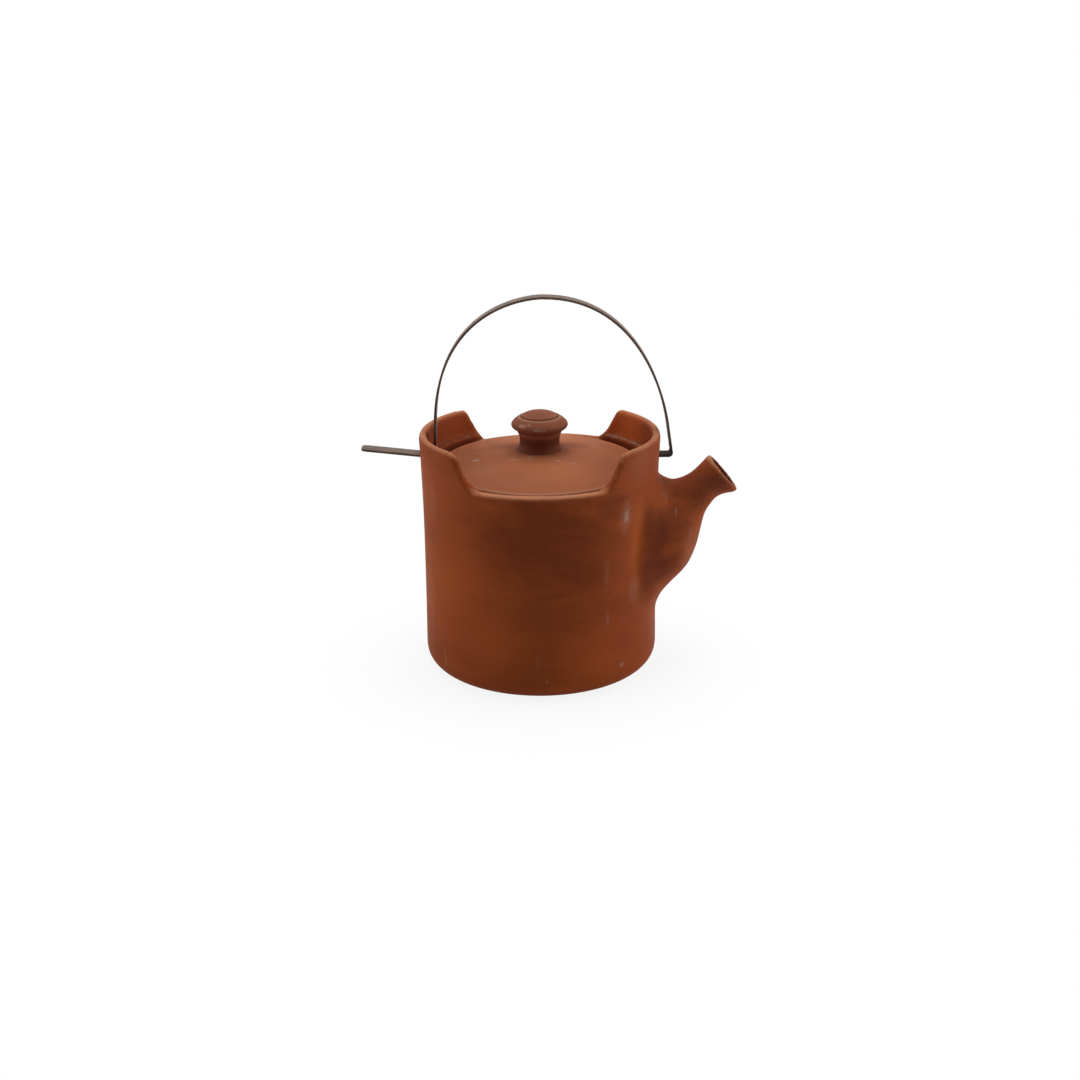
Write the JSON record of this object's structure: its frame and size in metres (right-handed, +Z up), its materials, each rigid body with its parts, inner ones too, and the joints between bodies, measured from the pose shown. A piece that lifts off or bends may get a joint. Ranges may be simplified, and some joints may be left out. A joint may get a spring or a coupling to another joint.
{
  "type": "teapot",
  "caption": "Straight-sided clay teapot with a bulbous side spout, a lift-off domed lid with a knob, raised lugs at the rim and a swinging bail handle bent from metal strip.",
  "frame": {"origin": "centre of the flat base, on the pot's axis", "axes": "+Z up along the pot's axis, +X towards the spout, -X towards the handle's free tail"},
  "size_m": [0.2024, 0.1284, 0.2034],
  "materials": {
    "clay": "unglazed, matt, fine throwing lines",
    "pale_clay": "unglazed, matt, slightly chalky",
    "strip": "brown patina, satin"
  },
  "bodies": {
    "pot": {"pot_body": "clay", "spout": "clay"},
    "lid": {"lid": "pale_clay", "lid_knob": "clay"},
    "bail": {"bail_handle": "strip"}
  },
  "joints": [
    {"name": "lid_lift", "type": "slide", "parent": "pot", "child": "lid", "axis": [0, 0, 1], "range_m": [0, 0.028]},
    {"name": "bail_swing", "type": "hinge", "parent": "pot", "child": "bail", "pos_m": [0, 0, 0.1172], "axis": [1, 0, 0], "range_deg": [-52, 52]}
  ]
}
